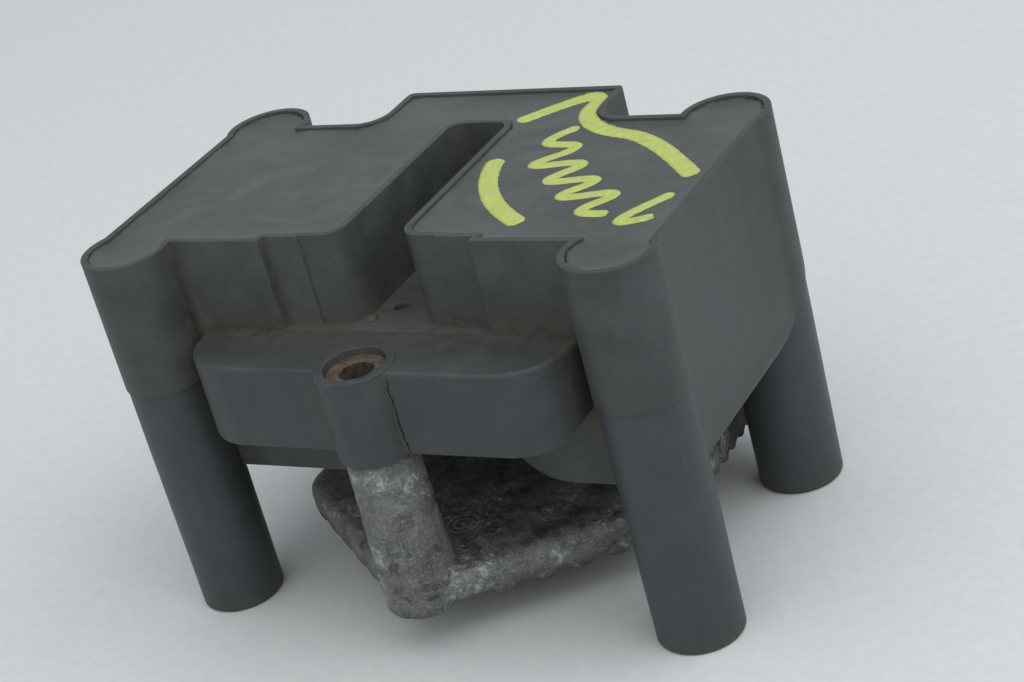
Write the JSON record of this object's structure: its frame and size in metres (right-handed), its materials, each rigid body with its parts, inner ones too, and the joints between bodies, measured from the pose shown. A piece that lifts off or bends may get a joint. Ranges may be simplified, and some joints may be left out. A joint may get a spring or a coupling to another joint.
{
  "type": "ignition coil",
  "caption": "Ignition coil pack standing on its high-voltage towers, with a potted case, a core bar with a bushed ear, a finned heat sink and a rear connector.",
  "frame": {"origin": "centre of the bounding box, at the plane of the four tower mouths it stands on", "axes": "+X along the core bar, +Y from the single ear towards the connector, +Z from the tower mouths up to the potted face"},
  "size_m": [0.1284, 0.1062, 0.0842],
  "materials": {
    "case_plastic": "satin",
    "cover_plastic": "satin",
    "tower_plastic": "satin",
    "potting_resin": "satin",
    "cast_aluminium": "rough cast",
    "bush_steel": "rusted",
    "core_steel": "laminated",
    "bobbin_plastic": "satin",
    "copper_wire": "enamelled copper",
    "lead_wire": "tinned copper",
    "terminal_brass": "satin",
    "board_laminate": "ceramic board",
    "transistor_epoxy": "satin",
    "silicone": "matte",
    "marker_paint": "dried paint marker"
  },
  "bodies": {
    "root": {"coil_case": "case_plastic", "connector_pins": "terminal_brass", "connector_shroud": "case_plastic", "core_cover": "cover_plastic", "core_front_yoke": "core_steel", "core_leg_left": "core_steel", "core_leg_right": "core_steel", "core_rear_yoke": "core_steel", "driver_board": "board_laminate", "driver_housing": "case_plastic", "heat_sink": "cast_aluminium", "housing_sealant": "silicone", "hv_lead_front_left": "lead_wire", "hv_lead_front_right": "lead_wire", "hv_lead_rear_left": "lead_wire", "hv_lead_rear_right": "lead_wire", "hv_terminal_front_left": "terminal_brass", "hv_terminal_front_right": "terminal_brass", "hv_terminal_rear_left": "terminal_brass", "hv_terminal_rear_right": "terminal_brass", "hv_tower_front_left": "tower_plastic", "hv_tower_front_right": "tower_plastic", "hv_tower_rear_left": "tower_plastic", "hv_tower_rear_right": "tower_plastic", "mount_bush_front": "bush_steel", "mount_bush_rear_left": "bush_steel", "mount_bush_rear_right": "bush_steel", "potting_resin": "potting_resin", "power_transistor_left": "transistor_epoxy", "power_transistor_right": "transistor_epoxy", "primary_bobbin_left": "bobbin_plastic", "primary_bobbin_right": "bobbin_plastic", "primary_lead_left": "lead_wire", "primary_lead_right": "lead_wire", "primary_winding_left": "copper_wire", "primary_winding_right": "copper_wire", "secondary_bobbin_left": "bobbin_plastic", "secondary_bobbin_right": "bobbin_plastic", "secondary_winding_left": "copper_wire", "secondary_winding_right": "copper_wire", "thermal_pad": "silicone"}
  },
  "joints": []
}
